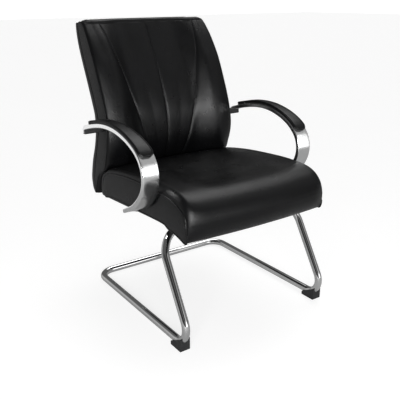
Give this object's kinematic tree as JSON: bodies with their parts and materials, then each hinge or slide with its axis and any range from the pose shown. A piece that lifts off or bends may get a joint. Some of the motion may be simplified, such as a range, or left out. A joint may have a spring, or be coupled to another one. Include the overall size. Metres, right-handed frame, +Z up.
{
  "type": "sled base visitor chair",
  "caption": "Mid-back visitor chair with black leather seat and back, bent aluminium arms with padded tops, and a chrome tube sled base.",
  "frame": {"origin": "on the floor, at the middle of the chair's width and depth", "axes": "+Z up, -Y towards the front of the chair, +X towards the right of someone who looks at its front"},
  "size_m": [0.664, 0.7928, 0.947],
  "materials": {
    "chrome": "mirror",
    "polished_aluminium": "polished",
    "black_leather": "soft semi-gloss",
    "black_plastic": "matte",
    "black_steel": "satin",
    "zinc_steel": "satin",
    "plywood": "raw"
  },
  "bodies": {
    "root": {"sled_frame": "chrome", "tube_plug_left": "black_plastic", "tube_plug_right": "black_plastic", "glide_left": "black_plastic", "glide_right": "black_plastic", "seat_board": "black_plastic", "arm_pad_base_left": "black_plastic", "arm_pad_base_right": "black_plastic", "seat_plate": "black_steel", "back_bracket_left": "black_steel", "back_bracket_right": "black_steel", "arm_left": "polished_aluminium", "arm_right": "polished_aluminium", "seat_cushion": "black_leather", "back_cushion": "black_leather", "back_shell": "black_leather", "arm_pad_left": "black_leather", "arm_pad_right": "black_leather", "back_board": "plywood", "arm_block_left": "plywood", "arm_block_right": "plywood", "glide_screw_left": "zinc_steel", "glide_screw_right": "zinc_steel", "seat_plate_bolt_1": "zinc_steel", "bracket_seat_bolt_1": "zinc_steel", "arm_foot_bolt_1": "zinc_steel", "seat_plate_bolt_2": "zinc_steel", "bracket_seat_bolt_2": "zinc_steel", "arm_foot_bolt_2": "zinc_steel", "seat_plate_bolt_3": "zinc_steel", "bracket_seat_bolt_3": "zinc_steel", "arm_foot_bolt_3": "zinc_steel", "seat_plate_bolt_4": "zinc_steel", "bracket_seat_bolt_4": "zinc_steel", "arm_foot_bolt_4": "zinc_steel", "bracket_back_bolt_left_1": "zinc_steel", "arm_rear_bolt_left_1": "zinc_steel", "pad_screw_left_1": "zinc_steel", "bracket_back_bolt_left_2": "zinc_steel", "arm_rear_bolt_left_2": "zinc_steel", "pad_screw_left_2": "zinc_steel", "bracket_back_bolt_right_1": "zinc_steel", "arm_rear_bolt_right_1": "zinc_steel", "pad_screw_right_1": "zinc_steel", "bracket_back_bolt_right_2": "zinc_steel", "arm_rear_bolt_right_2": "zinc_steel", "pad_screw_right_2": "zinc_steel"}
  },
  "joints": []
}
